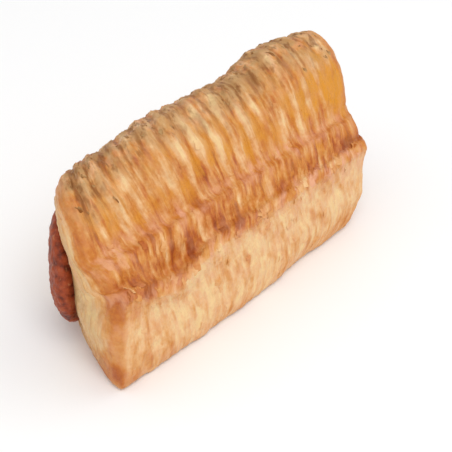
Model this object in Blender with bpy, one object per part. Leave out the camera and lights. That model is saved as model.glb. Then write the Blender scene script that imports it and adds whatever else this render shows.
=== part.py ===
"""A baked sausage roll: scored puff pastry wrapped round a core of sausage meat.

Metres, +Z up. The roll lies along X on its flat base. The seam and the cut side
of the pastry face -Y, and both ends are cut on the slant. The origin is under the
middle of the roll's box, on the base.
"""
import math
import random

import bmesh
import bpy
from mathutils import Vector, noise

# Overall form
LENGTH = 0.1125          # along the lip of the seam, corner to corner
DEPTH_NEAR = 0.0465      # front wall to back, at the -X end
DEPTH_FAR = 0.0485
CROWN = 0.0536           # height of the top in the middle of the roll
NEAR_DROP = 0.0030       # how much lower the crown is at the -X end
NEAR_DIP = 0.0014        # shallow dip of the crown after that end
NEAR_DIP_AT = 0.19
NEAR_HUMP = 0.0009       # low hump that follows the dip
NEAR_HUMP_AT = 0.34
FAR_DIP = 0.0010         # second shallow dip, past the middle
FAR_DIP_AT = 0.64
FAR_SWELL = 0.0028       # how much higher the crown has puffed after that
FAR_DROP = 0.0032        # how much it falls again at the +X end
SLANT = 0.42             # run along X of the end cuts and the scores, per metre of depth

# Ends
END_PUFF = 0.0056        # how far the pastry stands out of the cut at the -X end
END_PUFF_WIDTH = 0.038   # how far back that puff reaches
END_SWEEP = 0.0040       # how far the back of the -X end is swept in
FOOT_SWEEP_FROM = 0.004  # where that starts at the foot of the end, and above the foot
HIGH_SWEEP_FROM = 0.022
LIP_SETBACK = 0.0020     # how far the lip's corner is set in at the -X end
FAR_PUFF = 0.0016        # how far the dome stands out of the cut at the +X end
FAR_PUFF_AT = 0.018
FAR_UNDERCUT = 0.0095    # how far the foot of that end draws in
FAR_UNDERCUT_TOP = 0.013
# Rings over an end face: share of the way from skin to filling, and how far it stands out
END_RINGS = ((0.10, 0.0009), (0.40, 0.0016), (0.75, 0.0016), (0.93, 0.0009))

# Front wall, lip and seam
WALL_NEAR = 0.0325       # height of the lip over the base
WALL_FAR = 0.0290
WALL_BOW = 0.0016        # how far the wall bows out along its length
FOOT_ROUND = 0.0028      # rounding of the wall's lower edge
FOOT_TUCK = 0.0009       # how far that edge is drawn in, past the middle
FOOT_TUCK_AT = 0.72
LIP_OVERHANG = 0.0012
LIP_SAG = 0.0040         # the dip of the lip near the -X end
LIP_SAG_OUT = 0.0014     # how far the dip leans out
LIP_SAG_AT = 0.20
CREASE = 0.0026          # distance of the crease behind the wall
LEDGE_RISE = 0.0052      # height of the ledge over the lip
VALLEY = 0.0105          # distance of the foot of the dome behind the wall

# Scores across the top: phase within one score, and height there as a share of cut or crest
SCORES = 17
SCORE_CUT = 0.0008
SCORE_CREST = 0.0003
CRAG = 0.0006            # uneven puffing of the crests
SCORE_STEPS = ((0.0, -1.0), (0.20, 1.0), (0.52, 0.3), (0.80, -0.15))
LEAN_FADE = 0.15         # share of the roll at each end over which the scores' lean comes in

# Filling
MEAT_FROM_FRONT = 0.0318
MEAT_HEIGHT = 0.0220     # height of its middle over the base
MEAT_HALF_WIDTH = 0.0120
MEAT_HALF_HEIGHT = 0.0176
MEAT_PUSH = 0.0058       # how far it has swollen out of each end
# Rings of a swollen end: share of its width, and share of its swelling
MEAT_RINGS = ((0.96, 0.42), (0.84, 0.72), (0.62, 0.93), (0.34, 1.0))
MEAT_GRAIN = 0.0006      # unevenness of the minced meat
MOUTH_INSET = 0.0006
GAP = 0.0003             # between filling and pastry

# Steps to each span of the cross-section, from the back of the base
SPAN_STEPS = (2, 2, 1, 2, 2, 2, 1, 2, 2, 2, 2, 2, 2, 3, 4, 3, 3, 3, 2, 2, 1, 1)
TUNNEL_STATIONS = tuple(step / 6.0 for step in range(7))
EVENNESS = 0.5           # how evenly the filling's points are spread round it
UNEVEN = 0.0005          # waviness of the whole skin
SKIN_WAVES = 160.0       # waves per metre
MEAT_WAVES = 260.0
SMOOTH_BELOW = 38.0      # degrees between faces that shade as one
SEED = 7


def blend(start, end, share):
    return start + (end - start) * share


def ramp(low, high, value):
    """Smooth step from 0 at low to 1 at high."""
    share = min(max((value - low) / (high - low), 0.0), 1.0)
    return share * share * (3.0 - 2.0 * share)


def hill(value, middle, width):
    return math.exp(-((value - middle) / width) ** 2)


def curve_through(points, steps):
    """Closed smooth curve through the points, with the given steps to each span."""
    count = len(points)
    result = []
    for index in range(count):
        before, start, end, after = (Vector(points[(index + k - 1) % count]) for k in range(4))
        for step in range(steps[index]):
            t = step / steps[index]
            straight = 2.0 * start + (end - before) * t
            bend = (2.0 * before - 5.0 * start + 4.0 * end - after) * t ** 2
            turn = (3.0 * start - before - 3.0 * end + after) * t ** 3
            result.append(0.5 * (straight + bend + turn))
    return result


def crown_height(station):
    droop = NEAR_DROP * (1.0 - ramp(-0.04, 0.22, station))
    dip = NEAR_DIP * hill(station, NEAR_DIP_AT, 0.07)
    hump = NEAR_HUMP * hill(station, NEAR_HUMP_AT, 0.08)
    dip += FAR_DIP * hill(station, FAR_DIP_AT, 0.05)
    swell = FAR_SWELL * ramp(0.68, 0.80, station)
    fall = FAR_DROP * ramp(0.82, 1.02, station)
    return CROWN - droop - dip + hump + swell - fall


def outline(station):
    """Cross-section round the roll: depth, height, share of the scores and their lean along the roll."""
    depth = blend(DEPTH_NEAR, DEPTH_FAR, station)
    crown = crown_height(station)
    wall = blend(WALL_NEAR, WALL_FAR, station)
    lip = wall - LIP_SAG * hill(station, LIP_SAG_AT, 0.10)
    ledge = wall + LEDGE_RISE
    face = -WALL_BOW * math.sin(math.pi * station ** 0.75)
    edge = face - LIP_OVERHANG - LIP_SAG_OUT * hill(station, LIP_SAG_AT, 0.12)
    tuck = FOOT_TUCK * hill(station, FOOT_TUCK_AT, 0.12)
    middle = 0.5 * (VALLEY + depth)
    points = (
        # base
        (0.72 * depth, 0.0, 0.0, 0.05),
        (0.28 * depth, 0.0, 0.0, 0.05),
        (face + tuck + FOOT_ROUND, 0.0, 0.0, 0.05),
        # front wall
        (face + tuck, FOOT_ROUND, 0.0, 0.05),
        (face - 0.0006, 0.36 * lip, 0.0, 0.03),
        (face - 0.0004, 0.68 * lip, 0.0, 0.0),
        # lip
        (edge + 0.0003, lip - 0.0034, 0.0, -0.02),
        (edge, lip - 0.0010, 0.15, -0.03),
        (edge + 0.0016, lip + 0.0006, 0.3, -0.022),
        # crease, ledge and valley
        (CREASE, lip + 0.0002, 0.3, 0.0),
        (CREASE + 0.0016, blend(lip, ledge, 0.62), 0.6, 0.002),
        (CREASE + 0.0042, ledge, 0.6, 0.014),
        (VALLEY - 0.0002, ledge + 0.0002, 0.5, 0.018),
        # dome
        (VALLEY + 0.0020, blend(ledge, crown, 0.27), 0.9, 0.006),
        (VALLEY + 0.0072, blend(ledge, crown, 0.76), 1.0, -0.015),
        (middle - 0.0010, crown, 1.0, -0.028),
        (depth - 0.0098, crown - 0.0040, 1.0, -0.04),
        (depth - 0.0034, crown - 0.0118, 0.7, -0.045),
        (depth - 0.0004, crown - 0.0235, 0.3, -0.045),
        # back
        (depth, 0.32 * crown, 0.0, -0.02),
        (depth - 0.0008, 0.0040, 0.0, 0.03),
        (depth - 0.0034, 0.0, 0.0, 0.05),
    )
    ring = curve_through(points, SPAN_STEPS)
    return [Vector((point.x, max(point.y, 0.0), point.z, point.w)) for point in ring]


def near_end(depth, height):
    """Place along X of the -X end."""
    share = min(max(depth / END_PUFF_WIDTH, 0.0), 1.0)
    puff = END_PUFF * math.sin(math.pi * share) ** 0.8 * ramp(-0.001, 0.022, height)
    low_sweep = ramp(FOOT_SWEEP_FROM, DEPTH_NEAR, depth)
    high_sweep = ramp(HIGH_SWEEP_FROM, DEPTH_NEAR, depth)
    sweep = END_SWEEP * blend(low_sweep, high_sweep, ramp(0.0, 0.016, height))
    setback = LIP_SETBACK * ramp(0.0, WALL_NEAR, height) * (1.0 - share)
    return SLANT * depth + setback + sweep - puff


def far_end(depth, height):
    """Place along X of the +X end."""
    foot = max(0.0, 1.0 - height / FAR_UNDERCUT_TOP) ** 2 * (1.0 - ramp(0.0, 0.020, depth))
    puff = FAR_PUFF * hill(depth, FAR_PUFF_AT, 0.012) * ramp(0.030, 0.044, height)
    return LENGTH + SLANT * depth - FAR_UNDERCUT * foot + puff


def along_roll(station, depth, height):
    return blend(near_end(depth, height), far_end(depth, height), station)


def stations():
    """Places of the cross-sections from 0 to 1, each with its lift on the scored top."""
    rng = random.Random(SEED)
    result = []
    for score in range(SCORES):
        crest = SCORE_CREST + CRAG * rng.uniform(-0.4, 1.0)
        for phase, share in SCORE_STEPS:
            lift = share * (crest if share > 0.0 else SCORE_CUT)
            result.append(((score + phase) / SCORES, lift))
    result[0] = (0.0, 0.0)
    result.append((1.0, 0.0))
    return result


def skin_ring(station, lift):
    """One cross-section of the pastry's skin, as points in space."""
    flat = outline(station)
    fade = ramp(0.0, LEAN_FADE, station) * ramp(0.0, LEAN_FADE, 1.0 - station)
    ring = []
    for index, point in enumerate(flat):
        along = flat[(index + 1) % len(flat)] - flat[index - 1]
        outward = Vector((-along.y, along.x)).normalized()
        rise = lift * point.z
        if point.y > FOOT_ROUND:
            rise += UNEVEN * noise.noise(Vector((station * 9.0, point.x * SKIN_WAVES, point.y * SKIN_WAVES)))
        depth = point.x + outward.x * rise
        height = max(point.y + outward.y * rise, 0.0)
        ring.append(Vector((along_roll(station + point.w * fade, depth, height), depth, height)))
    return ring


def meat_point(angle, grow=0.0):
    """Point of the filling's outline in the direction of the angle, as (depth, height)."""
    width = MEAT_HALF_WIDTH + grow
    height = MEAT_HALF_HEIGHT + grow
    reach = width * height / math.hypot(height * math.cos(angle), width * math.sin(angle))
    return Vector((MEAT_FROM_FRONT + reach * math.cos(angle), MEAT_HEIGHT + reach * math.sin(angle)))


def tunnel_angles(station):
    """Angles round the filling that match the points of the skin, always turning one way."""
    angles = []
    for point in outline(station):
        angle = math.atan2(point.y - MEAT_HEIGHT, point.x - MEAT_FROM_FRONT)
        if angles:
            while angle > angles[-1]:
                angle -= 2.0 * math.pi
            if angles[-1] - angle > math.pi:
                angle = angles[-1]
        angles.append(angle)
    turn = 2.0 * math.pi / len(angles)
    even = [angles[0] - turn * index for index in range(len(angles))]
    return [blend(angle, plain, EVENNESS) for angle, plain in zip(angles, even)]


def end_rings(skin, station, place, side):
    """Rings over one end face, from the skin inwards to the mouth of the tunnel."""
    rings = []
    for share, stand in END_RINGS:
        ring = []
        for point, angle in zip(skin, tunnel_angles(station)):
            mouth = meat_point(angle, GAP)
            depth = blend(point.y, mouth.x, share)
            height = blend(point.z, mouth.y, share)
            ring.append(Vector((place(depth, height) + side * stand, depth, height)))
        rings.append(ring)
    return rings


def tunnel_ring(station):
    inset = blend(MOUTH_INSET, -MOUTH_INSET, station)
    ring = []
    for angle in tunnel_angles(station):
        mouth = meat_point(angle, GAP)
        ring.append(Vector((along_roll(station, mouth.x, mouth.y) + inset, mouth.x, mouth.y)))
    return ring


def pastry_rings():
    """Rings round the skin, over the +X end, back through the tunnel and over the -X end."""
    skin = [skin_ring(station, lift) for station, lift in stations()]
    rings = list(skin)
    rings += end_rings(skin[-1], 1.0, far_end, 1.0)
    rings += [tunnel_ring(station) for station in reversed(TUNNEL_STATIONS)]
    rings += reversed(end_rings(skin[0], 0.0, near_end, -1.0))
    return rings


def meat_ring(station, push=0.0, scale=1.0):
    """One ring of the filling, pushed out of the roll where it is on a swollen end."""
    ring = []
    for angle in tunnel_angles(station):
        edge = meat_point(angle)
        depth = blend(MEAT_FROM_FRONT, edge.x, scale)
        height = blend(MEAT_HEIGHT, edge.y, scale)
        grain = MEAT_GRAIN * noise.noise(Vector((depth, height, station)) * MEAT_WAVES) if push else 0.0
        ring.append(Vector((along_roll(station, depth, height) + push + grain, depth, height)))
    return ring


def meat_rings():
    rings = [meat_ring(0.0, -MEAT_PUSH * push, scale) for scale, push in reversed(MEAT_RINGS)]
    rings += [meat_ring(station) for station in TUNNEL_STATIONS]
    rings += [meat_ring(1.0, MEAT_PUSH * push, scale) for scale, push in MEAT_RINGS]
    return rings


def base_middle(rings):
    """The point of the base under the middle of the box round all the rings."""
    points = [point for ring in rings for point in ring]
    across = [0.5 * (min(point[axis] for point in points) + max(point[axis] for point in points))
              for axis in (0, 1)]
    return Vector((*across, 0.0))


def loft(name, rings, closed_along):
    """Joins rings of points into one closed skin, with a fan at each end if it isn't closed along."""
    mesh = bmesh.new()
    rows = [[mesh.verts.new(point) for point in ring] for ring in rings]
    count = len(rows[0])
    pairs = list(zip(rows, rows[1:]))
    if closed_along:
        pairs.append((rows[-1], rows[0]))
    for row, following in pairs:
        for index in range(count):
            after = (index + 1) % count
            mesh.faces.new((row[index], row[after], following[after], following[index]))
    if not closed_along:
        for row in (rows[0], rows[-1]):
            middle = mesh.verts.new(sum((vertex.co for vertex in row), Vector()) / count)
            for index in range(count):
                mesh.faces.new((row[index], row[(index + 1) % count], middle))
    bmesh.ops.recalc_face_normals(mesh, faces=mesh.faces)
    data = bpy.data.meshes.new(name)
    mesh.to_mesh(data)
    mesh.free()
    data.shade_smooth()
    data.set_sharp_from_angle(angle=math.radians(SMOOTH_BELOW))
    return bpy.data.objects.new(name, data)


def material(name, colour, roughness):
    made = bpy.data.materials.new(name)
    made.use_nodes = True
    shader = made.node_tree.nodes["Principled BSDF"]
    shader.inputs["Base Color"].default_value = (*colour, 1.0)
    shader.inputs["Roughness"].default_value = roughness
    shader.inputs["Metallic"].default_value = 0.0
    return made


def main():
    for old in list(bpy.data.objects):
        bpy.data.objects.remove(old, do_unlink=True)
    roll = bpy.data.collections.new("sausage_roll")
    bpy.context.scene.collection.children.link(roll)
    pastry = pastry_rings()
    meat = meat_rings()
    origin = base_middle(pastry + meat)
    for ring in pastry + meat:
        for point in ring:
            point -= origin
    pieces = (
        (loft("pastry", pastry, closed_along=True), material("baked_pastry", (0.62, 0.32, 0.11), 0.55)),
        (loft("sausage_meat", meat, closed_along=False), material("cooked_meat", (0.22, 0.06, 0.03), 0.6)),
    )
    for piece, finish in pieces:
        piece.data.materials.append(finish)
        roll.objects.link(piece)


main()
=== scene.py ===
# A baked sausage roll: scored, egg-washed puff pastry round a core of sausage meat.
# Metres, +Z up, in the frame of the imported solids.
import math

import bpy
import numpy as np
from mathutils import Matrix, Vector


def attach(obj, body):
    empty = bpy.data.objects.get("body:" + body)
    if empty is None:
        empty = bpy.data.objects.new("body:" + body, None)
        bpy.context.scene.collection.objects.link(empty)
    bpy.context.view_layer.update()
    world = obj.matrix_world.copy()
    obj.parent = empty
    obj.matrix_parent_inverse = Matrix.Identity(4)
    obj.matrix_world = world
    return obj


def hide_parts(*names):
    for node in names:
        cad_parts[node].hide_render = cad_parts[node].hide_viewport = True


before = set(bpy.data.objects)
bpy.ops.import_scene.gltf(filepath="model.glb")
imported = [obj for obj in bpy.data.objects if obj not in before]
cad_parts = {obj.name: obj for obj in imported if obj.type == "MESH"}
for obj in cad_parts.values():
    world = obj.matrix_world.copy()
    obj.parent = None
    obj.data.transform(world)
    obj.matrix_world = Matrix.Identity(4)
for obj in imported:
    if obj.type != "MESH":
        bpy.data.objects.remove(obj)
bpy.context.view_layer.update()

# Form of the roll, as in the solids, measured from the lip's corner at the -X end
LENGTH = 0.1125
DEPTH_NEAR = 0.0465
DEPTH_FAR = 0.0485
CROWN = 0.0536
NEAR_DROP = 0.0030
NEAR_DIP = 0.0014
NEAR_DIP_AT = 0.19
NEAR_HUMP = 0.0009
NEAR_HUMP_AT = 0.34
FAR_DIP = 0.0010
FAR_DIP_AT = 0.64
FAR_SWELL = 0.0028
FAR_DROP = 0.0032
SLANT = 0.42
END_PUFF = 0.0056
END_PUFF_WIDTH = 0.038
END_SWEEP = 0.0040
FOOT_SWEEP_FROM = 0.004
HIGH_SWEEP_FROM = 0.022
LIP_SETBACK = 0.0020
FAR_PUFF = 0.0016
FAR_PUFF_AT = 0.018
FAR_UNDERCUT = 0.0095
FAR_UNDERCUT_TOP = 0.013
END_BULGE = 0.0016
WALL_NEAR = 0.0325
WALL_FAR = 0.0290
WALL_BOW = 0.0016
FOOT_ROUND = 0.0028
FOOT_TUCK = 0.0009
FOOT_TUCK_AT = 0.72
LIP_OVERHANG = 0.0012
LIP_SAG = 0.0040
LIP_SAG_OUT = 0.0014
LIP_SAG_AT = 0.20
CREASE = 0.0026
LEDGE_RISE = 0.0052
VALLEY = 0.0105
MEAT_FROM_FRONT = 0.0318
MEAT_HEIGHT = 0.0220
MEAT_HALF_WIDTH = 0.0120
MEAT_HALF_HEIGHT = 0.0176
MEAT_PUSH = 0.0058
GAP = 0.0003
MIDDLE = Vector((0.066822, 0.022411, 0.0))   # the frame's origin, from that corner

# Scores across the top
SCORES = 17
SCORE_CUT = 0.0007
SCORE_CREST = 0.0004
SCORE_PROFILE = ((0.08, 0.22), (0.20, 0.82), (0.30, 1.0), (0.50, 0.86), (0.75, 0.48), (0.92, 0.14))

# How finely the crust is modelled
STATIONS = SCORES * 21
SPAN_STEPS = (8, 6, 4, 14, 14, 10, 8, 8, 7, 10, 8, 7, 8, 18, 18, 14, 14, 14, 12, 10, 5, 5)
END_RINGS = 36
EDGE_ROUND = 0.0014      # rounding of the crust's cut edge
EVENNESS = 0.5           # how evenly the points of a cut end are spread round the filling
ANGLES_SMOOTHED = 14     # neighbours on each side that a cut end's angles are evened out with
END_SMOOTHED = 12        # and its outline

# What each place round the cross-section is like, from the back of the base: how brown it baked,
# how much the scores, crags, flakes, streaks, egg wash and pink show, the pink partly of the
# undercooked layers and partly painted highlight on the ledge and the lip's ridge, and how far
# along the roll the scores lean there
BAKED = (0.44, 0.44, 0.36, 0.25, 0.13, 0.17, 0.28, 0.55, 0.62, 0.68, 0.64, 0.60,
         0.52, 0.50, 0.46, 0.48, 0.46, 0.46, 0.40, 0.28, 0.28, 0.38)
SCORED = (0, 0, 0, 0, 0, 0, 0.0, 0.15, 0.3, 0.3, 0.45, 0.5,
          0.6, 1.0, 1.0, 0.8, 0.7, 0.7, 0.4, 0.1, 0, 0)
CRAGGED = (0, 0, 0, 0, 0, 0, 0, 0, 0, 0, 0, 0,
           0, 0, 0.25, 1.0, 1.0, 0.5, 0, 0, 0, 0)
FLAKED = (0, 0, 0, 0.4, 0.4, 0.4, 0.8, 1.0, 0.8, 0.4, 0.3, 0.3,
          0.2, 0.1, 0.2, 0.5, 0.5, 0.4, 0.5, 0.5, 0.4, 0)
STREAKED = (0.0, 0.2, 0.3, 0.60, 0.7, 0.7, 0.6, 0.7, 0.9, 1.0, 1.0, 0.9,
            0.7, 0.6, 0.7, 0.8, 0.7, 0.6, 0.5, 0.4, 0.3, 0.2)
WASHED = (0, 0, 0, 0, 0, 0, 0.1, 0.1, 0.2, 0.3, 0.4, 0.2,
          0.3, 1.0, 0.6, 0.1, 0.1, 0.5, 0.3, 0, 0, 0)
PINKED = (0, 0, 0.1, 0.3, 0.3, 0.4, 0.5, 0.6, 0.5, 0.2, 0.2, 0.6,
          0.6, 0.1, 0.2, 0.5, 0.4, 0.2, 0.1, 0.1, 0, 0)
LEANING = (0.05, 0.05, 0.05, 0.05, 0.03, 0.0, -0.02, -0.03, -0.022, 0.0, 0.002, 0.014,
           0.018, 0.006, -0.015, -0.028, -0.040, -0.045, -0.045, -0.02, 0.03, 0.05)
LEAN_FADE = 0.15          # share of the roll at each end over which the lean comes in

# The cut ends, from the skin in to the filling: how far in, how brown there, how much browner at
# the foot and at the lip's corner, and how pink above the filling
END_DEPTHS = (0.0, 0.20, 0.45, 0.75, 1.0)
END_BAKED = (0.44, 0.30, 0.14, 0.06, 0.04)
END_FOOT_BROWNER = 0.30
END_CORNER_BROWNER = 0.40
END_PINKER = 1.5
LAYERS_STREAKED = 0.6
LAYERS_PINKED = 0.25
TUNNEL_STEPS = 6
TUNNEL_INSET = 0.0006    # how far in from the cut ends the tunnel starts
TUNNEL_BAKED = 0.3

MEAT_AROUND = 220
MEAT_STATIONS = 14
MEAT_END_RINGS = 44
MEAT_SQUARENESS = 0.62   # the lower, the flatter the swollen end and the squarer its rim

# Patches where the crust differs: place along the roll, place round it, how far each reaches
# along and round, and how much more of it there is, or less
DARKER = (
    (0.00, 5.4, 0.016, 1.8, 0.44),
    (0.00, 3.2, 0.020, 0.6, 0.36),
    (0.08, 7.0, 0.055, 1.4, 0.26),
    (0.27, 6.6, 0.120, 0.9, -0.30),
    (0.92, 9.2, 0.060, 0.6, 0.22),
    (0.968, 9.2, 0.020, 0.5, 0.30),
    (0.70, 8.2, 0.100, 0.8, -0.16),
    (0.00, 14.0, 0.050, 2.0, 0.12),
    (0.10, 3.3, 0.120, 0.6, 0.26),
    (0.97, 3.2, 0.100, 0.8, 0.16),
    (0.90, 7.4, 0.120, 1.2, -0.10),
    (0.45, 14.6, 0.180, 1.0, -0.14),
)
FAINTER_SCORES = (
    (0.95, 13.3, 0.110, 1.2, -0.75),
    (0.66, 12.9, 0.050, 0.9, -0.35),
)
CRAGGIER = (
    (0.05, 14.2, 0.080, 0.9, 0.35),
    (0.60, 14.6, 0.040, 0.5, 0.4),
    (0.46, 14.9, 0.130, 0.9, -0.25),
)
TOASTED = (
    (0.066, 15.2, 0.016, 0.6, 1.0),
    (0.156, 14.9, 0.010, 0.5, 0.9),
    (0.199, 15.4, 0.010, 0.5, 0.7),
    (0.343, 15.1, 0.012, 0.5, 0.7),
    (0.480, 14.4, 0.010, 0.3, 0.6),
    (0.609, 15.0, 0.011, 0.6, 0.8),
    (0.708, 14.7, 0.010, 0.5, 0.9),
    (0.811, 14.7, 0.010, 0.4, 0.7),
    (0.003, 5.4, 0.010, 1.2, 0.3),
    (0.970, 9.2, 0.012, 0.3, 0.4),
)
# The pinker patches on the lip and the ledge are partly a pink tinge and partly painted highlight
PINKER = (
    (0.88, 7.2, 0.160, 1.3, 0.7),
    (0.72, 8.2, 0.110, 0.7, 0.6),
    (0.33, 7.0, 0.050, 1.2, 0.5),
    (0.28, 11.7, 0.025, 0.6, 0.7),
    (0.58, 11.8, 0.035, 0.7, 0.9),
    (0.70, 11.7, 0.040, 0.7, 0.8),
    (0.06, 11.6, 0.050, 1.2, 0.5),
)
GOLDER = (
    (0.95, 13.4, 0.120, 1.8, 1.3),
    (0.55, 13.1, 0.300, 0.8, 0.3),
    (0.80, 10.2, 0.050, 0.8, 0.6),
)

# Patterns drawn out round the roll: how fine across their lines and along them, for each metre
WAVERING = (70.0, 70.0)
TORN_EDGE = (420.0, 260.0)
STREAKS = (620.0, 130.0)
BROAD_STREAKS = (380.0, 90.0)
SMEARS = (230.0, 95.0)
SCORE_LINES = (640.0, 55.0)
CRAGS = (760.0, 330.0)
CUT_EDGES = (1100.0, 45.0)
PINK_PATCHES = (300.0, 150.0)
SPECKS = (480.0, 190.0)
SPOTS = (330.0, 150.0)
TOAST_EDGES = (700.0, 240.0)

# Colours
BUTTER = (0.800, 0.560, 0.270)
CREAM = (0.760, 0.465, 0.222)
PALE_GOLD = (0.715, 0.385, 0.155)
GOLD = (0.630, 0.280, 0.076)
AMBER = (0.540, 0.178, 0.028)
RUSSET = (0.420, 0.098, 0.014)
SCORCHED = (0.300, 0.062, 0.011)
EGG_GOLD = (0.640, 0.255, 0.014)
# Pink tinge, also laid on as painted highlight on the ledge and the lip's ridge
BLUSH_AND_HIGHLIGHT = (0.730, 0.360, 0.205)
CUT_LAYERS = (0.600, 0.385, 0.155)
DRY_CRUST = (0.452, 0.272, 0.112)
TOAST = (0.215, 0.066, 0.006)
MEAT_BROWN = (0.305, 0.052, 0.015)
# Darkest tone of the mince, also painted shade in its hollows, at its rim and on the crust round it
MEAT_DARK_AND_SHADE = (0.110, 0.018, 0.007)
MEAT_FAT = (0.385, 0.095, 0.032)
MEAT_PALE = (0.460, 0.200, 0.090)
BAKE_STOPS = (
    (0.0, BUTTER), (0.14, CREAM), (0.28, PALE_GOLD), (0.44, GOLD), (0.62, AMBER), (0.82, RUSSET),
    (1.0, SCORCHED))
MEAT_STOPS = ((0.22, MEAT_DARK_AND_SHADE), (0.48, MEAT_BROWN), (0.80, MEAT_FAT))

# Shine, and depth and strength of the finest grain
CRUST_SHINE = 0.28
FLAKE_SHINE = 0.20
MEAT_SHINE = 0.25
FINE_GRAIN = 0.0004
FINE_GRAIN_SHOWN = 0.8

# The photo's camera, placed from the lip's corner at the -X end
CAMERA_AT = Vector((-0.18620, -0.19366, 0.23557))
CAMERA_TILT = 56.0
CAMERA_TURN = -49.97
CAMERA_LENS = 103.54
CAMERA_SENSOR = 36.0

# Floor, and lights as name, place, size and power
FLOOR_SIZE = 6.0
FLOOR_SINK = 0.0002
FLOOR_GREY = 0.93
SKY_STRENGTH = 0.78
LAMPS = (
    ("key", (-0.45, -0.60, 1.00), 0.7, 6.0),
    ("fill", (0.70, -0.45, 0.55), 0.9, 1.5),
)


def blend(start, end, share):
    return start + (end - start) * share


def ramp(low, high, value):
    """Smooth step from 0 at low to 1 at high."""
    share = np.clip((value - low) / (high - low), 0.0, 1.0)
    return share * share * (3.0 - 2.0 * share)


def hill(value, middle, width):
    return np.exp(-((value - middle) / width) ** 2)


# The crust's form

def crown_height(station):
    droop = NEAR_DROP * (1.0 - ramp(-0.04, 0.22, station))
    dip = NEAR_DIP * hill(station, NEAR_DIP_AT, 0.07)
    hump = NEAR_HUMP * hill(station, NEAR_HUMP_AT, 0.08)
    dip += FAR_DIP * hill(station, FAR_DIP_AT, 0.05)
    swell = FAR_SWELL * ramp(0.68, 0.80, station)
    fall = FAR_DROP * ramp(0.82, 1.02, station)
    return CROWN - droop - dip + hump + swell - fall


def corner_points(station):
    """The points that the cross-section's curve goes through, as (depth, height)."""
    depth = blend(DEPTH_NEAR, DEPTH_FAR, station)
    crown = crown_height(station)
    wall = blend(WALL_NEAR, WALL_FAR, station)
    lip = wall - LIP_SAG * hill(station, LIP_SAG_AT, 0.10)
    ledge = wall + LEDGE_RISE
    face = -WALL_BOW * math.sin(math.pi * station ** 0.75)
    edge = face - LIP_OVERHANG - LIP_SAG_OUT * hill(station, LIP_SAG_AT, 0.12)
    tuck = FOOT_TUCK * hill(station, FOOT_TUCK_AT, 0.12)
    middle = 0.5 * (VALLEY + depth)
    return np.array((
        (0.72 * depth, 0.0),
        (0.28 * depth, 0.0),
        (face + tuck + FOOT_ROUND, 0.0),
        (face + tuck, FOOT_ROUND),
        (face - 0.0006, 0.36 * lip),
        (face - 0.0004, 0.68 * lip),
        (edge + 0.0003, lip - 0.0034),
        (edge, lip - 0.0010),
        (edge + 0.0016, lip + 0.0006),
        (CREASE, lip + 0.0002),
        (CREASE + 0.0016, blend(lip, ledge, 0.62)),
        (CREASE + 0.0042, ledge),
        (VALLEY - 0.0002, ledge + 0.0002),
        (VALLEY + 0.0020, blend(ledge, crown, 0.27)),
        (VALLEY + 0.0072, blend(ledge, crown, 0.76)),
        (middle - 0.0010, crown),
        (depth - 0.0098, crown - 0.0040),
        (depth - 0.0034, crown - 0.0118),
        (depth - 0.0004, crown - 0.0235),
        (depth, 0.32 * crown),
        (depth - 0.0008, 0.0040),
        (depth - 0.0034, 0.0),
    ))


def places_round():
    """The place round the cross-section of each point, counted in corner points."""
    return np.concatenate([index + np.arange(steps) / steps for index, steps in enumerate(SPAN_STEPS)])


def smooth_round(corners, places):
    """Smooth closed curve through the corners, read at the places."""
    count = len(corners)
    index = places.astype(int)
    t = (places - index).reshape((-1,) + (1,) * (corners.ndim - 1))
    before, start, end, after = (corners[(index + step) % count] for step in (-1, 0, 1, 2))
    straight = 2.0 * start + (end - before) * t
    bend = (2.0 * before - 5.0 * start + 4.0 * end - after) * t ** 2
    turn = (3.0 * start - before - 3.0 * end + after) * t ** 3
    return 0.5 * (straight + bend + turn)


def cross_section(station):
    """The roll's outline there, one row of depth and height for each place round it."""
    curve = smooth_round(corner_points(station), places_round())
    curve[:, 1] = np.maximum(curve[:, 1], 0.0)
    return curve


def near_end(depth, height):
    """How far along the roll the cut end at -X lies."""
    share = np.clip(depth / END_PUFF_WIDTH, 0.0, 1.0)
    puff = END_PUFF * np.sin(math.pi * share) ** 0.8 * ramp(-0.001, 0.022, height)
    low_sweep = ramp(FOOT_SWEEP_FROM, DEPTH_NEAR, depth)
    high_sweep = ramp(HIGH_SWEEP_FROM, DEPTH_NEAR, depth)
    sweep = END_SWEEP * blend(low_sweep, high_sweep, ramp(0.0, 0.016, height))
    setback = LIP_SETBACK * ramp(0.0, WALL_NEAR, height) * (1.0 - share)
    return SLANT * depth + setback + sweep - puff


def far_end(depth, height):
    """How far along the roll the cut end at +X lies."""
    foot = np.maximum(0.0, 1.0 - height / FAR_UNDERCUT_TOP) ** 2 * (1.0 - ramp(0.0, 0.020, depth))
    puff = FAR_PUFF * hill(depth, FAR_PUFF_AT, 0.012) * ramp(0.030, 0.044, height)
    return LENGTH + SLANT * depth - FAR_UNDERCUT * foot + puff


def along_roll(station, depth, height):
    """How far along the roll a point lies whose station is its share of the way between the ends."""
    return blend(near_end(depth, height), far_end(depth, height), station)


def mouth(angles, grow=0.0):
    """The filling's outline in the direction of each angle, as (depth, height)."""
    width = MEAT_HALF_WIDTH + grow
    height = MEAT_HALF_HEIGHT + grow
    reach = width * height / np.hypot(height * np.cos(angles), width * np.sin(angles))
    depths = MEAT_FROM_FRONT + reach * np.cos(angles)
    heights = MEAT_HEIGHT + reach * np.sin(angles)
    return np.stack((depths, heights), axis=1)


def smoothed(values, reach):
    """The values round a closed ring, each evened out with its neighbours."""
    weights = np.hanning(2 * reach + 3)[1:-1]
    padded = np.concatenate((values[-reach:], values, values[:reach]))
    return np.convolve(padded, weights / weights.sum(), "valid")


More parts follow.
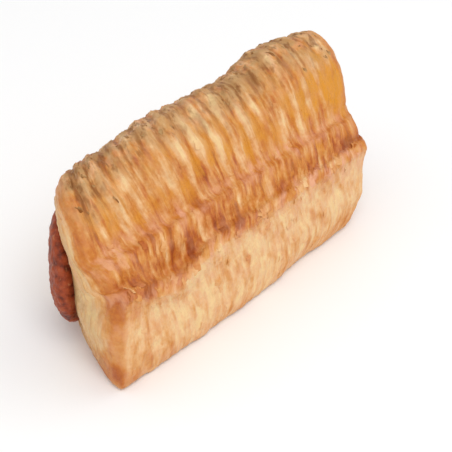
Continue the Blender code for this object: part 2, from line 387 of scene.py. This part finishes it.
def mouth_angles(section):
    """Angles round the filling that match the points of the crust, always turning one way."""
    raw = np.arctan2(section[:, 1] - MEAT_HEIGHT, section[:, 0] - MEAT_FROM_FRONT)
    steps = (np.diff(raw) + math.pi) % (2.0 * math.pi) - math.pi
    wrapped = raw[0] + np.concatenate(([0.0], np.cumsum(np.minimum(steps, 0.0))))
    even = wrapped[0] - 2.0 * math.pi * np.arange(len(raw)) / len(raw)
    return even + (1.0 - EVENNESS) * smoothed(wrapped - even, ANGLES_SMOOTHED)


def lengths_round(section):
    """Distance round the section from its first point."""
    steps = np.hypot(*(np.roll(section, -1, axis=0) - section).T)
    return np.concatenate(([0.0], np.cumsum(steps)[:-1]))


# What keep tells each point of the crust, in its order. The first two are metres along the roll
# and round it, for the patterns, and the third is its share of the roll's length.
FACTS = ("across", "around", "along", "bake", "scored", "cragged", "toasted", "flaked", "streaked",
         "washed", "pink_and_highlight", "layered", "shaded")


def crust_rings():
    """Rings over the skin, the +X end, the tunnel and the -X end, with what each point is told."""
    rings = []
    facts = []
    places = places_round()
    corners = np.arange(len(BAKED) + 1)

    def told(values):
        return np.interp(places, corners, values + values[:1])

    def patched(values, patches, station):
        result = values.copy()
        for along, place, reach, spread, more in patches:
            result += more * hill(station, along, reach) * hill(places, place, spread)
        return result

    baked, scored, cragged, flaked, streaked, washed, pink_and_highlight = (told(values) for values in (
        BAKED, SCORED, CRAGGED, FLAKED, STREAKED, WASHED, PINKED))
    leaning = smooth_round(np.array(LEANING), places)

    def keep(x, section, across, around, station, bake, share, loose, layered, pinker, shade):
        """Adds a ring with its facts, with its share of scores and flakes, and of loose streaks."""
        rings.append(np.stack((x, section[:, 0], section[:, 1]), axis=1))
        ones = np.ones(len(section))
        marked = np.maximum(patched(scored, FAINTER_SCORES, station), 0.0)
        craggy = patched(cragged, CRAGGIER, station)
        toasted = patched(0.0 * baked, TOASTED, station)
        pink = blend(patched(pink_and_highlight, PINKER, station), LAYERS_PINKED, layered) + pinker
        facts.append(np.stack((
            across * ones, around, ones * station, bake, marked * share, craggy * share,
            toasted * loose, flaked * share, blend(streaked, LAYERS_STREAKED, layered) * loose,
            patched(washed, GOLDER, station) * share, pink, ones * layered, ones * shade), axis=1))

    for station in np.linspace(0.0, 1.0, STATIONS + 1):
        section = cross_section(station)
        from_end = min(station, 1.0 - station) * LENGTH
        if from_end < EDGE_ROUND:
            inset = EDGE_ROUND - math.sqrt(EDGE_ROUND ** 2 - (EDGE_ROUND - from_end) ** 2)
            pull = np.array((MEAT_FROM_FRONT, MEAT_HEIGHT)) - section
            pull /= np.linalg.norm(pull, axis=1)[:, None]
            section = section + pull * inset
            section[:, 1] = np.maximum(section[:, 1], 0.0)
        rim = 1.0 - ramp(0.0, 0.004, from_end)
        shift = leaning * ramp(0.0, LEAN_FADE, station) * ramp(0.0, LEAN_FADE, 1.0 - station)
        keep(along_roll(station + shift, *section.T), section, station * LENGTH, lengths_round(section),
             station, patched(baked, DARKER, station), 1.0 - 0.8 * rim, 1.0 - rim, 0.0, 0.0, 0.0)
        if station == 0.0:
            first = section

    def end_face(section, place, side, station, shares):
        angles = mouth_angles(section)
        inner = mouth(angles, GAP)
        width = np.linalg.norm(inner - section, axis=1)
        around = lengths_round(section)
        outer = patched(baked, DARKER, station)
        evened = np.stack([smoothed(section[:, axis], END_SMOOTHED) for axis in (0, 1)], axis=1)
        for share in shares:
            here = blend(blend(section, evened, ramp(0.0, 0.3, share)), inner, share)
            stand = END_BULGE * math.sin(math.pi * min(share * 1.15, 1.0)) ** 0.6
            depth, height = here.T
            browned = np.interp(share, END_DEPTHS, END_BAKED)
            browned += END_FOOT_BROWNER * (1.0 - ramp(0.004, 0.018, height))
            browned += END_CORNER_BROWNER * (1.0 - ramp(0.001, 0.009, depth)) * ramp(0.012, 0.030, height)
            bake = blend(outer, browned, ramp(0.0, 0.2, share))
            pinker = END_PINKER * ramp(0.35, 0.65, share) * ramp(0.024, 0.034, height)
            across = station * LENGTH + side * share * width
            keep(place(depth, height) + side * stand, here, across, around, station, bake,
                 0.0, ramp(0.0, 0.2, share), ramp(0.10, 0.45, share), pinker, ramp(0.86, 1.0, share))

    shares = np.linspace(0.02, 0.98, END_RINGS)
    end_face(section, far_end, 1.0, 1.0, shares)
    for step in range(TUNNEL_STEPS, -1, -1):
        station = step / TUNNEL_STEPS
        section = cross_section(station)
        hole = mouth(mouth_angles(section), GAP)
        inset = blend(TUNNEL_INSET, -TUNNEL_INSET, station)
        keep(along_roll(station, *hole.T) + inset, hole, 0.0, lengths_round(hole), station,
             TUNNEL_BAKED * np.ones(len(hole)), 0.0, 0.0, 1.0, 0.0, 1.0)
    end_face(first, near_end, -1.0, 0.0, shares[::-1])
    return np.array(rings), np.array(facts)


def lattice_mesh(name, rings, closed_along):
    """Mesh over a lattice of rings, with a fan over each end ring if it isn't closed along."""
    rows, count = rings.shape[:2]
    points = rings.reshape(-1, 3)
    strips = rows if closed_along else rows - 1
    row = np.repeat(np.arange(strips), count)
    place = np.tile(np.arange(count), strips)
    following, after = (row + 1) % rows, (place + 1) % count
    faces = np.stack((row * count + place, following * count + place,
                      following * count + after, row * count + after), axis=1).tolist()
    if not closed_along:
        points = np.vstack((points, rings[0].mean(axis=0), rings[-1].mean(axis=0)))
        last = rows * count
        for index in range(count):
            beside = (index + 1) % count
            faces.append((index, beside, last))
            faces.append(((rows - 1) * count + beside, (rows - 1) * count + index, last + 1))
    data = bpy.data.meshes.new(name)
    data.from_pydata((points - np.array(MIDDLE)).tolist(), [], faces)
    data.shade_smooth()
    return data


def tell(data, name, values):
    """Stores one number for each point of the mesh."""
    layer = data.attributes.new(name, "FLOAT", "POINT")
    layer.data.foreach_set("value", np.ascontiguousarray(values, dtype=np.float32))


def show(name, data):
    made = bpy.data.objects.new(name, data)
    bpy.context.scene.collection.objects.link(made)
    return made


# Trees of nodes

def add(tree, kind, inputs=(), **settings):
    """Adds a node with its settings, and feeds its inputs with values or other nodes' outputs."""
    made = tree.nodes.new(kind)
    for name, value in settings.items():
        setattr(made, name, value)
    for key, value in dict(inputs).items():
        if isinstance(value, bpy.types.NodeSocket):
            tree.links.new(value, made.inputs[key])
        else:
            made.inputs[key].default_value = value
    return made


def calc(tree, operation, *values):
    return add(tree, "ShaderNodeMath", enumerate(values), operation=operation).outputs[0]


def product(tree, first, *others):
    """The values multiplied together, from left to right."""
    for other in others:
        first = calc(tree, "MULTIPLY", first, other)
    return first


def vector(tree, x, y, z=0.0):
    return add(tree, "ShaderNodeCombineXYZ", {"X": x, "Y": y, "Z": z}).outputs[0]


def between(tree, value, low, high, start=0.0, end=1.0):
    """The value's place between low and high, smoothly, as a number from start to end."""
    inputs = {"Value": value, "From Min": low, "From Max": high, "To Min": start, "To Max": end}
    return add(tree, "ShaderNodeMapRange", inputs, interpolation_type="SMOOTHSTEP").outputs["Result"]


def grain(tree, place, scale, detail=2.0, rough=0.5):
    inputs = {"Vector": place, "Scale": scale, "Detail": detail, "Roughness": rough}
    return add(tree, "ShaderNodeTexNoise", inputs).outputs["Fac"]


def stretched(tree, lines, fineness):
    """Vector for a pattern that is fine across its lines and long along them."""
    return vector(tree, *(calc(tree, "MULTIPLY", line, scale) for line, scale in zip(lines, fineness)))


def shape_tree(name, sizes):
    """A new Geometry Nodes tree with its named sizes, and its group input node."""
    tree = bpy.data.node_groups.new(name, "GeometryNodeTree")
    tree.interface.new_socket("Geometry", in_out="INPUT", socket_type="NodeSocketGeometry")
    for size, value in sizes.items():
        socket = tree.interface.new_socket(size, in_out="INPUT", socket_type="NodeSocketFloat")
        socket.default_value = value
    tree.interface.new_socket("Finish", in_out="INPUT", socket_type="NodeSocketMaterial")
    tree.interface.new_socket("Geometry", in_out="OUTPUT", socket_type="NodeSocketGeometry")
    return tree, tree.nodes.new("NodeGroupInput").outputs


def finish_tree(tree, geometry, finish):
    whole = add(tree, "GeometryNodeRealizeInstances", {"Geometry": geometry})
    coated = add(tree, "GeometryNodeSetMaterial", {"Geometry": whole.outputs[0], "Material": finish})
    add(tree, "NodeGroupOutput", {0: coated.outputs[0]})


def fact(tree, name, kind="FLOAT"):
    """What each point was told under the name."""
    made = add(tree, "GeometryNodeInputNamedAttribute", {"Name": name}, data_type=kind)
    return made.outputs["Attribute"]


def grown(source, tree, sizes, finish, name):
    """The source put through the tree, as a plain mesh object of its own."""
    modifier = source.modifiers.new(tree.name, "NODES")
    modifier.node_group = tree
    items = tree.interface.items_tree
    sockets = {item.name: item.identifier for item in items if item.in_out == "INPUT"}
    for size, value in sizes.items():
        modifier[sockets[size]] = value
    modifier[sockets["Finish"]] = finish
    seen = source.evaluated_get(bpy.context.evaluated_depsgraph_get())
    data = bpy.data.meshes.new_from_object(seen)
    data.name = name
    source.modifiers.remove(modifier)
    return show(name, data)


def move_out(tree, geometry, lift):
    """Moves each point along its normal."""
    normal = add(tree, "GeometryNodeInputNormal").outputs[0]
    offset = add(tree, "ShaderNodeVectorMath", {0: normal, "Scale": lift}, operation="SCALE").outputs[0]
    return add(tree, "GeometryNodeSetPosition", {"Geometry": geometry, "Offset": offset}).outputs[0]


def stored(tree, geometry, name, value):
    """Keeps one number for each point, under the name, for the finish to read."""
    inputs = {"Geometry": geometry, "Name": name, "Value": value}
    made = add(tree, "GeometryNodeStoreNamedAttribute", inputs, data_type="FLOAT", domain="POINT")
    return made.outputs[0]


def score_profile(tree, phase):
    """Height of the slice between two scores, from 0 at each cut to 1 at its crest."""
    curve = add(tree, "ShaderNodeFloatCurve", {"Value": phase})
    points = curve.mapping.curves[0].points
    points[0].location = (0.0, 0.0)
    points[1].location = (1.0, 0.0)
    for spot in SCORE_PROFILE:
        points.new(*spot)
    curve.mapping.update()
    return curve.outputs[0]


def crust_tree():
    """Scores, crags, streaks and cut layers, as relief on the plain form."""
    tree, given = shape_tree("baked relief", {
        "Scores": SCORES, "Cut": SCORE_CUT, "Crest": SCORE_CREST, "Waver": 0.55, "Fray": 0.16,
        "Streaks": 0.0014, "Crags": 0.0015, "Layers": 0.0012, "Dimples": 0.0016, "Foot": 0.0004})
    lines = fact(tree, "across"), fact(tree, "around")
    scored = fact(tree, "scored")
    place = add(tree, "GeometryNodeInputPosition").outputs[0]

    def drawn(fineness, detail=2.0, rough=0.5):
        return grain(tree, stretched(tree, lines, fineness), 1.0, detail, rough)

    def relief(pattern, size, middle=0.5):
        return calc(tree, "MULTIPLY", calc(tree, "SUBTRACT", pattern, middle), given[size])

    torn = drawn(TORN_EDGE)
    waver = relief(drawn(WAVERING), "Waver")
    waver = calc(tree, "MULTIPLY_ADD", calc(tree, "SUBTRACT", torn, 0.5), given["Fray"], waver)
    turn = calc(tree, "ADD", calc(tree, "MULTIPLY", fact(tree, "along"), given["Scores"]), waver)
    phase = calc(tree, "FRACT", turn)
    number = calc(tree, "FLOOR", turn)
    chance = add(tree, "ShaderNodeTexWhiteNoise", {"W": number}, noise_dimensions="1D").outputs["Value"]
    crest = calc(tree, "MULTIPLY", given["Crest"], calc(tree, "ADD", 0.4, chance))
    span = calc(tree, "ADD", crest, given["Cut"])
    lift = calc(tree, "SUBTRACT", calc(tree, "MULTIPLY", score_profile(tree, phase), span), given["Cut"])

    height = calc(tree, "MULTIPLY", lift, scored)
    crags = calc(tree, "MULTIPLY", relief(drawn(CRAGS, 4.0, 0.65), "Crags", 0.42), fact(tree, "cragged"))
    layers = calc(tree, "MULTIPLY", relief(drawn(CUT_EDGES), "Layers"), fact(tree, "layered"))
    streaks = calc(tree, "MULTIPLY", relief(drawn(STREAKS, 3.0), "Streaks"), fact(tree, "streaked"))
    dimples = relief(grain(tree, place, 150.0, 3.0), "Dimples")
    for part in (crags, layers, calc(tree, "ADD", streaks, dimples)):
        height = calc(tree, "ADD", height, part)
    above = add(tree, "ShaderNodeSeparateXYZ", {0: place}).outputs["Z"]
    off_base = calc(tree, "GREATER_THAN", above, given["Foot"])
    off_filling = calc(tree, "SUBTRACT", 1.0, fact(tree, "shaded"))
    raised = move_out(tree, given["Geometry"], product(tree, height, off_base, off_filling))

    patchy = between(tree, grain(tree, place, 110.0, 2.0), 0.30, 0.60, 0.55, 1.20)
    shown = calc(tree, "MULTIPLY", scored, patchy)
    # The pale layers that each score lays open, partly painted light on that lit slope, and the gap
    # before the next one, kept for painted shade
    opened_and_lit = product(
        tree, between(tree, phase, 0.56, 0.26), between(tree, phase, 0.02, 0.20), shown,
        calc(tree, "ADD", 0.5, chance), between(tree, torn, 0.25, 0.60, 0.55, 1.10))
    gap_shade = product(tree, between(tree, phase, 0.62, 0.84), between(tree, phase, 1.02, 0.92), shown)
    kept = stored(tree, stored(tree, raised, "opened_and_lit", opened_and_lit), "gap_shade", gap_shade)
    finish_tree(tree, kept, given["Finish"])
    return tree


def varied(tree, low, high, seed):
    """A random vector for each chip."""
    inputs = {"Min": low, "Max": high, "Seed": seed}
    return add(tree, "FunctionNodeRandomValue", inputs, data_type="FLOAT_VECTOR").outputs[0]


def multiplied(tree, first, second):
    return add(tree, "ShaderNodeVectorMath", {0: first, 1: second}, operation="MULTIPLY").outputs[0]


def chip_shape(tree, thickness):
    """A thin ragged chip, one unit long, whose ends bend down."""
    block = add(tree, "GeometryNodeMeshCube", {"Vertices X": 5, "Vertices Y": 4, "Vertices Z": 2})
    place = add(tree, "GeometryNodeInputPosition").outputs[0]
    split = add(tree, "ShaderNodeSeparateXYZ", {0: place}).outputs
    bend = product(tree, split["X"], split["X"], -0.5)
    ragged = calc(tree, "MULTIPLY", calc(tree, "SUBTRACT", grain(tree, place, 2.6), 0.5), 1.3)
    shape = vector(
        tree,
        calc(tree, "ADD", split["X"], calc(tree, "MULTIPLY", ragged, 0.4)),
        calc(tree, "MULTIPLY", split["Y"], calc(tree, "ADD", 1.0, ragged)),
        calc(tree, "ADD", calc(tree, "MULTIPLY", split["Z"], thickness), bend))
    inputs = {"Geometry": block.outputs["Mesh"], "Position": shape}
    return add(tree, "GeometryNodeSetPosition", inputs).outputs[0]


def flake_tree():
    """Chips that lie on a surface along its way, closest together where their chance is high."""
    tree, given = shape_tree("loose flakes", {
        "Per Square Metre": 100000.0, "Length": 0.0022, "Width": 0.6, "Thickness": 0.07, "Tilt": 0.35,
        "Stray": 0.5, "Rise": 0.1, "Seed": 3.0})
    seed = calc(tree, "FLOOR", given["Seed"])
    density = calc(tree, "MULTIPLY", given["Per Square Metre"], fact(tree, "chance"))
    spread = add(
        tree, "GeometryNodeDistributePointsOnFaces",
        {"Mesh": given["Geometry"], "Density": density, "Seed": seed}, distribute_method="RANDOM").outputs
    lean = multiplied(tree, varied(tree, (-1.0, -1.0, -1.0), (1.0, 1.0, 1.0), seed),
                      vector(tree, given["Tilt"], given["Tilt"], given["Stray"]))
    laid_along = add(
        tree, "FunctionNodeAlignRotationToVector",
        {"Rotation": spread["Rotation"], "Vector": fact(tree, "way", "FLOAT_VECTOR")},
        axis="X", pivot_axis="Z").outputs[0]
    facing = add(
        tree, "FunctionNodeRotateRotation",
        {"Rotation": laid_along, "Rotate By": lean}, rotation_space="LOCAL").outputs[0]
    size = varied(tree, (0.5, 0.4, 0.6), (1.3, 1.2, 1.3), calc(tree, "ADD", seed, 5.0))
    width = calc(tree, "MULTIPLY", given["Length"], given["Width"])
    scale = multiplied(tree, size, vector(tree, given["Length"], width, given["Length"]))
    chips = add(tree, "GeometryNodeInstanceOnPoints", {
        "Points": spread["Points"], "Instance": chip_shape(tree, given["Thickness"]),
        "Rotation": facing, "Scale": scale}).outputs[0]
    up = vector(tree, 0.0, 0.0, calc(tree, "MULTIPLY", given["Rise"], given["Length"]))
    laid = add(tree, "GeometryNodeTranslateInstances",
               {"Instances": chips, "Translation": up, "Local Space": True}).outputs[0]
    finish_tree(tree, laid, given["Finish"])
    return tree


def mince_tree():
    """Lumps of minced meat where the filling has swollen out of the roll."""
    tree, given = shape_tree("minced meat", {"Lumps": 0.0007, "Lump Size": 0.0024, "Grain": 0.0006})
    place = add(tree, "GeometryNodeInputPosition").outputs[0]
    scale = calc(tree, "DIVIDE", 1.0, given["Lump Size"])
    cells = add(tree, "ShaderNodeTexVoronoi", {"Vector": place, "Scale": scale, "Smoothness": 0.6},
                feature="SMOOTH_F1").outputs["Distance"]
    lumps = calc(tree, "MULTIPLY", calc(tree, "SUBTRACT", 0.5, cells), given["Lumps"])
    fine = calc(tree, "SUBTRACT", grain(tree, place, 600.0, 3.0), 0.5)
    fine = calc(tree, "MULTIPLY", fine, given["Grain"])
    lift = calc(tree, "MULTIPLY", calc(tree, "ADD", lumps, fine), fact(tree, "swollen"))
    raised = move_out(tree, given["Geometry"], lift)
    # Keeps the distance from each lump's middle, for painted shade between the lumps
    finish_tree(tree, stored(tree, raised, "hollow_shade", cells), given["Finish"])
    return tree


# Finishes

def new_finish(name):
    """A new material, its tree and its shader."""
    made = bpy.data.materials.new(name)
    made.use_nodes = True
    return made, made.node_tree, made.node_tree.nodes["Principled BSDF"]


def kept_number(tree, name):
    return add(tree, "ShaderNodeAttribute", attribute_name=name).outputs["Fac"]


def colours(tree, value, stops):
    """Colour ramp through (place, colour) stops."""
    made = add(tree, "ShaderNodeValToRGB", {"Fac": value})
    elements = made.color_ramp.elements
    while len(elements) < len(stops):
        elements.new(0.5)
    for element, (place, colour) in zip(elements, stops):
        element.position = place
        element.color = (*colour, 1.0)
    return made.outputs["Color"]


def mixed(tree, share, colour, tone):
    """The colour, with the tone laid over a share of it."""
    inputs = {0: share, 6: colour, 7: (*tone, 1.0)}
    return add(tree, "ShaderNodeMix", inputs, data_type="RGBA").outputs[2]


def bumped(tree, shader, height):
    """Fine grain on the surface, too small to be modelled."""
    inputs = {"Height": height, "Distance": FINE_GRAIN, "Strength": FINE_GRAIN_SHOWN}
    tree.links.new(add(tree, "ShaderNodeBump", inputs).outputs[0], shader.inputs["Normal"])


def baked_crust():
    made, tree, shader = new_finish("baked_crust")
    place = add(tree, "ShaderNodeTexCoord").outputs["Object"]
    lines = kept_number(tree, "across"), kept_number(tree, "around")
    bake, scored, cragged, streaked, layered, shaded, opened_and_lit, gap_shade = (
        kept_number(tree, name) for name in (
            "bake", "scored", "cragged", "streaked", "layered", "shaded", "opened_and_lit", "gap_shade"))

    def drawn(fineness, detail=3.0, rough=0.55):
        return grain(tree, stretched(tree, lines, fineness), 1.0, detail, rough)

    def centred(pattern):
        return calc(tree, "SUBTRACT", pattern, 0.5)

    def mottled(scale):
        return centred(grain(tree, place, scale, 3.0, 0.55))

    # How brown each place is, with painted shade in the gap before each score and painted light on
    # the slope each score lays open, and the colour of that
    streak = centred(drawn(STREAKS))
    line = centred(drawn(SCORE_LINES))
    smear = product(tree, centred(drawn(SMEARS, 2.0)), streaked)
    browning = bake
    for term, amount in (
        (gap_shade, 0.20),
        (opened_and_lit, -0.17),
        (product(tree, line, scored), 1.1),
        (mottled(75.0), 0.50),
        (mottled(380.0), 0.35),
        (smear, 1.50),
        (mottled(1100.0), 0.28),
        (product(tree, centred(drawn(BROAD_STREAKS, 2.0)), streaked), 1.1),
        (product(tree, streak, streaked), 1.3),
        (product(tree, centred(drawn(CUT_EDGES, 2.0)), layered), 1.3),
    ):
        browning = calc(tree, "MULTIPLY_ADD", term, amount, browning)
    colour = colours(tree, browning, BAKE_STOPS)

    # What lies over it: egg wash, pink layers with painted highlights, dry crust, specks, toast
    # with painted shade in the gaps, cut layers, and painted shade round the filling
    brushed = product(
        tree, between(tree, grain(tree, place, 120.0, 2.0), 0.36, 0.60, 0.0, 0.70),
        between(tree, opened_and_lit, 0.6, 0.1), kept_number(tree, "washed"))
    # Pink mottling, partly a real tinge and partly painted highlight on the ledge and the lip's ridge
    pink_and_highlight = kept_number(tree, "pink_and_highlight")
    pink = product(tree, between(tree, drawn(PINK_PATCHES, 4.0, 0.6), 0.40, 0.68), pink_and_highlight)
    dry = product(tree, cragged, between(tree, grain(tree, place, 160.0, 4.0, 0.6), 0.36, 0.58),
                  between(tree, bake, 0.90, 0.55))
    speck = product(tree, between(tree, drawn(SPECKS, 3.0, 0.6), 0.52, 0.70), cragged)
    spot = product(tree, between(tree, drawn(SPOTS, 2.0, 0.5), 0.58, 0.68), cragged)
    edge = between(tree, drawn(TOAST_EDGES, 3.0, 0.5), 0.30, 0.60, 0.2, 0.85)
    # The gaps before the scores on the crown take the toast's colour: partly toast, partly painted shade
    gap = product(tree, gap_shade, between(tree, cragged, 0.2, 0.9, 0.0, 0.9))
    toasted = calc(tree, "MAXIMUM", gap, kept_number(tree, "toasted"))
    for share, most, tone in (
        (brushed, 1.0, EGG_GOLD),
        (pink, 1.0, BLUSH_AND_HIGHLIGHT),
        (dry, 0.75, DRY_CRUST),
        (speck, 0.80, TOAST),
        (spot, 0.65, TOAST),
        (product(tree, edge, toasted), 1.0, TOAST),
        (layered, 0.40, CUT_LAYERS),
        # Painted shade on the crust in the gap round the filling
        (shaded, 0.55, MEAT_DARK_AND_SHADE),
    ):
        colour = mixed(tree, product(tree, share, most), colour, tone)
    tree.links.new(colour, shader.inputs["Base Color"])
    rough = between(tree, calc(tree, "MULTIPLY_ADD", dry, 0.7, smear), -0.3, 0.9, 0.40, 0.72)
    tree.links.new(rough, shader.inputs["Roughness"])
    shader.inputs["Specular IOR Level"].default_value = CRUST_SHINE
    fine = calc(tree, "ADD", calc(tree, "MULTIPLY", streak, 1.2), grain(tree, place, 900.0, 3.0, 0.6))
    bumped(tree, shader, calc(tree, "ADD", line, fine))
    return made


def toasted_flake():
    made, tree, shader = new_finish("toasted_flake")
    place = add(tree, "ShaderNodeTexCoord").outputs["Object"]
    stops = ((0.35, TOAST), (0.65, DRY_CRUST))
    tree.links.new(colours(tree, grain(tree, place, 300.0, 2.0), stops), shader.inputs["Base Color"])
    shader.inputs["Roughness"].default_value = 0.7
    shader.inputs["Specular IOR Level"].default_value = FLAKE_SHINE
    return made


def cooked_meat():
    made, tree, shader = new_finish("cooked_meat")
    place = add(tree, "ShaderNodeTexCoord").outputs["Object"]
    # Painted shade, darker in the recesses between the lumps
    hollow_shade = calc(tree, "SUBTRACT", kept_number(tree, "hollow_shade"), 0.4)
    tone = calc(tree, "MULTIPLY_ADD", hollow_shade, -0.55, grain(tree, place, 330.0, 4.0, 0.7))
    tone = calc(tree, "SUBTRACT", tone, 0.25)
    tone = calc(tree, "MULTIPLY_ADD", grain(tree, place, 90.0, 2.0), 0.5, tone)
    # Painted shade, darker towards the rims of the swollen ends
    tone = calc(tree, "MULTIPLY_ADD", kept_number(tree, "rim_shade"), -0.06, tone)
    colour = colours(tree, tone, MEAT_STOPS)
    fat = between(tree, grain(tree, place, 520.0, 2.0), 0.62, 0.72, 0.0, 0.55)
    colour = mixed(tree, fat, colour, MEAT_PALE)
    tree.links.new(colour, shader.inputs["Base Color"])
    shader.inputs["Roughness"].default_value = 0.50
    shader.inputs["Specular IOR Level"].default_value = MEAT_SHINE
    bumped(tree, shader, grain(tree, place, 1000.0, 3.0))
    return made


# Pieces

def make_crust():
    """The plain form, told what each point is like and which way lies round it, then its relief."""
    rings, facts = crust_rings()
    data = lattice_mesh("crust form", rings, closed_along=True)
    for index, name in enumerate(FACTS):
        tell(data, name, facts[:, :, index].ravel())
    way = np.roll(rings, -1, axis=1) - np.roll(rings, 1, axis=1)
    layer = data.attributes.new("way", "FLOAT_VECTOR", "POINT")
    layer.data.foreach_set("vector", way.astype(np.float32).ravel())
    form = show("crust_form", data)
    crust = grown(form, crust_tree(), {}, baked_crust(), "baked_crust")
    keep_above_base(crust)
    bpy.data.objects.remove(form)
    return crust


def keep_above_base(piece):
    """Lifts whatever reaches under the flat base up to it."""
    coordinates = np.empty(len(piece.data.vertices) * 3)
    piece.data.vertices.foreach_get("co", coordinates)
    coordinates[2::3] = np.maximum(coordinates[2::3], 0.0)
    piece.data.vertices.foreach_set("co", coordinates)
    piece.data.update()


def read(data, name):
    values = np.empty(len(data.vertices))
    data.attributes[name].data.foreach_get("value", values)
    return values


def scattered(crust, tree, chance, sizes, finish, name):
    """Chips grown on the crust, each point of which has its chance of one."""
    data = crust.data
    tell(data, "chance", chance)
    flakes = grown(crust, tree, sizes, finish, name)
    data.attributes.remove(data.attributes["chance"])
    keep_above_base(flakes)
    return flakes


def make_flakes(crust):
    """Dark toasted chips along the crown, pale ones on the wall, the ends and the lip."""
    tree = flake_tree()
    cragged, flaked, layered, shaded = (
        read(crust.data, name) for name in ("cragged", "flaked", "layered", "shaded"))
    toasted = scattered(
        crust, tree, np.maximum(cragged - 0.2, 0.0),
        {"Per Square Metre": 40000.0, "Length": 0.0024, "Width": 0.50, "Tilt": 0.14, "Seed": 3.0},
        toasted_flake(), "toasted_flakes")
    off_crown = (cragged < 0.2) * (shaded == 0.0)
    pale = scattered(
        crust, tree, np.maximum(flaked, 0.25 * layered) * off_crown,
        {"Per Square Metre": 70000.0, "Length": 0.0030, "Tilt": 0.10, "Seed": 4.0},
        crust.data.materials[0], "pale_flakes")
    return toasted, pale


def make_meat():
    """The filling, an oval core that has swollen out of both ends."""
    angles = -2.0 * math.pi * np.arange(MEAT_AROUND) / MEAT_AROUND
    edge = mouth(angles)
    middle = np.array((MEAT_FROM_FRONT, MEAT_HEIGHT))
    rings = []
    swollen = []
    rim_shade = []

    def ring(station, push, scale, told):
        here = blend(middle, edge, scale)
        x = along_roll(station, *here.T) + push
        rings.append(np.stack((x, here[:, 0], here[:, 1]), axis=1))
        swollen.append(told)
        # Painted shade, darker towards the rim of each swollen end where the filling meets the crust
        rim_shade.append(ramp(0.55, 0.98, scale))

    def swell(station, side, turn):
        """One ring of a swollen end, from its middle at a turn of 0 to its rim at 1."""
        angle = 0.5 * math.pi * turn
        push = MEAT_PUSH * math.cos(angle) ** MEAT_SQUARENESS
        ring(station, side * push, math.sin(angle) ** 0.9, 1.0 - 0.7 * turn ** 12)

    turns = np.linspace(0.04, 1.0, MEAT_END_RINGS)
    for turn in turns:
        swell(0.0, -1.0, turn)
    for station in np.linspace(0.0, 1.0, MEAT_STATIONS)[1:-1]:
        ring(station, 0.0, 1.0, 0.0)
    for turn in turns[::-1]:
        swell(1.0, 1.0, turn)
    data = lattice_mesh("meat form", np.array(rings), closed_along=False)
    tell(data, "swollen", np.concatenate((np.repeat(swollen, MEAT_AROUND), (1.0, 1.0))))
    tell(data, "rim_shade", np.concatenate((np.repeat(rim_shade, MEAT_AROUND), (0.0, 0.0))))
    form = show("meat_form", data)
    meat = grown(form, mince_tree(), {}, cooked_meat(), "minced_filling")
    bpy.data.objects.remove(form)
    return meat


# Stage, light and camera

def make_stage():
    bpy.ops.mesh.primitive_plane_add(size=FLOOR_SIZE, location=(0.0, 0.0, -FLOOR_SINK))
    floor = bpy.context.object
    floor.name = "floor"
    made, tree, shader = new_finish("pale_floor")
    shader.inputs["Base Color"].default_value = (FLOOR_GREY, FLOOR_GREY, FLOOR_GREY, 1.0)
    shader.inputs["Roughness"].default_value = 0.9
    floor.data.materials.append(made)
    world = bpy.data.worlds.new("studio")
    bpy.context.scene.world = world
    world.use_nodes = True
    world.node_tree.nodes["Background"].inputs["Color"].default_value = (1.0, 1.0, 1.0, 1.0)
    world.node_tree.nodes["Background"].inputs["Strength"].default_value = SKY_STRENGTH
    for name, spot, size, power in LAMPS:
        lamp = bpy.data.lights.new(name, "AREA")
        lamp.energy = power
        lamp.size = size
        holder = bpy.data.objects.new(name, lamp)
        holder.location = spot
        holder.rotation_euler = (-Vector(spot)).to_track_quat("-Z", "Y").to_euler()
        bpy.context.scene.collection.objects.link(holder)


def make_camera():
    lens = bpy.data.cameras.new("camera")
    lens.sensor_width = CAMERA_SENSOR
    lens.lens = CAMERA_LENS
    camera = bpy.data.objects.new("camera", lens)
    camera.location = CAMERA_AT - MIDDLE
    camera.rotation_euler = (math.radians(CAMERA_TILT), 0.0, math.radians(CAMERA_TURN))
    bpy.context.scene.collection.objects.link(camera)
    bpy.context.scene.camera = camera


crust = make_crust()
toasted, pale = make_flakes(crust)
meat = make_meat()
for piece, slot in (
    (crust, "baked_pastry"),
    (toasted, "baked_pastry"),
    (pale, "baked_pastry"),
    (meat, "cooked_meat"),
):
    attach(piece, "root")
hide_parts("pastry")
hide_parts("sausage_meat")
make_stage()
make_camera()
bpy.context.scene.view_settings.view_transform = "Standard"
